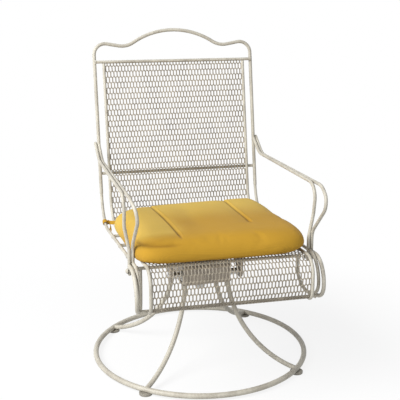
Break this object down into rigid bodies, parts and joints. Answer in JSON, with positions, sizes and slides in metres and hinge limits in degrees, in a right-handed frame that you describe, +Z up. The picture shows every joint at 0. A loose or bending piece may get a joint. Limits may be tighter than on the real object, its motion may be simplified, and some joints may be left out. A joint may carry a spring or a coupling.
{
  "type": "swivel patio dining armchair",
  "caption": "Patio dining armchair of bent steel rod with an expanded-metal back and rolled seat, a loose cushion, and a ring base on a swivel that also rocks",
  "frame": {"origin": "on the floor under the swivel axis", "axes": "+Z up, the sitter faces -Y, +X is on the sitter's left and at the right of the picture"},
  "size_m": [0.6668, 0.756, 0.9806],
  "materials": {
    "frame_paint": "antique off-white paint with grey-brown shading wiped into the hollows",
    "mesh_paint": "the same paint on expanded metal",
    "mechanism_paint": "dark satin paint",
    "bright_steel": "plated steel",
    "bush_plastic": "natural bearing plastic",
    "torsion_rubber": "black moulded rubber",
    "glide_plastic": "cream moulded plastic",
    "cushion_fabric": "golden yellow woven outdoor fabric"
  },
  "bodies": {
    "base": {"base_ring": "frame_paint", "base_leg_front_left": "frame_paint", "base_leg_front_right": "frame_paint", "base_leg_rear_right": "frame_paint", "base_leg_rear_left": "frame_paint", "foot_glides": "glide_plastic", "base_plate": "mechanism_paint", "hub_tube": "mechanism_paint", "hub_bush_lower": "bush_plastic", "hub_bush_upper": "bush_plastic", "thrust_washer": "bright_steel"},
    "swivel": {"swivel_spindle": "bright_steel", "spindle_washer": "bright_steel", "spindle_nut": "bright_steel", "housing_floor": "mechanism_paint", "tilt_housing": "mechanism_paint", "housing_bush_left": "bush_plastic", "housing_bush_right": "bush_plastic", "torsion_rubber": "torsion_rubber"},
    "seat": {"tilt_shaft": "bright_steel", "rocker_arm_left": "mechanism_paint", "rocker_arm_right": "mechanism_paint", "shaft_bolts": "bright_steel", "back_hoop": "frame_paint", "side_rail_left": "frame_paint", "side_rail_right": "frame_paint", "front_scroll_left": "frame_paint", "front_scroll_right": "frame_paint", "mesh_border_left": "frame_paint", "mesh_border_right": "frame_paint", "back_top_rod": "frame_paint", "back_lower_rod": "frame_paint", "seat_rear_rod": "frame_paint", "seat_mid_rod": "frame_paint", "seat_front_rod": "frame_paint", "roll_top_rod": "frame_paint", "roll_bottom_rod": "frame_paint", "back_mesh": "mesh_paint", "seat_mesh": "mesh_paint", "rear_bend_mesh": "mesh_paint", "roll_mesh": "mesh_paint", "arm_inner_left": "frame_paint", "arm_inner_right": "frame_paint", "arm_outer_left": "frame_paint", "arm_outer_right": "frame_paint", "arm_lugs": "frame_paint", "arm_bolts": "frame_paint", "arm_nuts": "bright_steel", "seat_cushion": "cushion_fabric", "cushion_tie_left": "cushion_fabric", "cushion_tie_right": "cushion_fabric"}
  },
  "joints": [
    {"name": "swivel", "type": "hinge", "parent": "base", "child": "swivel", "pos_m": [0, 0, 0.257], "axis": [0, 0, 1], "continuous": true},
    {"name": "rock", "type": "hinge", "parent": "swivel", "child": "seat", "pos_m": [0, -0.07, 0.283], "axis": [-1, 0, 0], "range_deg": [-4, 14], "stiffness_Nm_per_rad": 500, "springref_deg": -1.26}
  ]
}
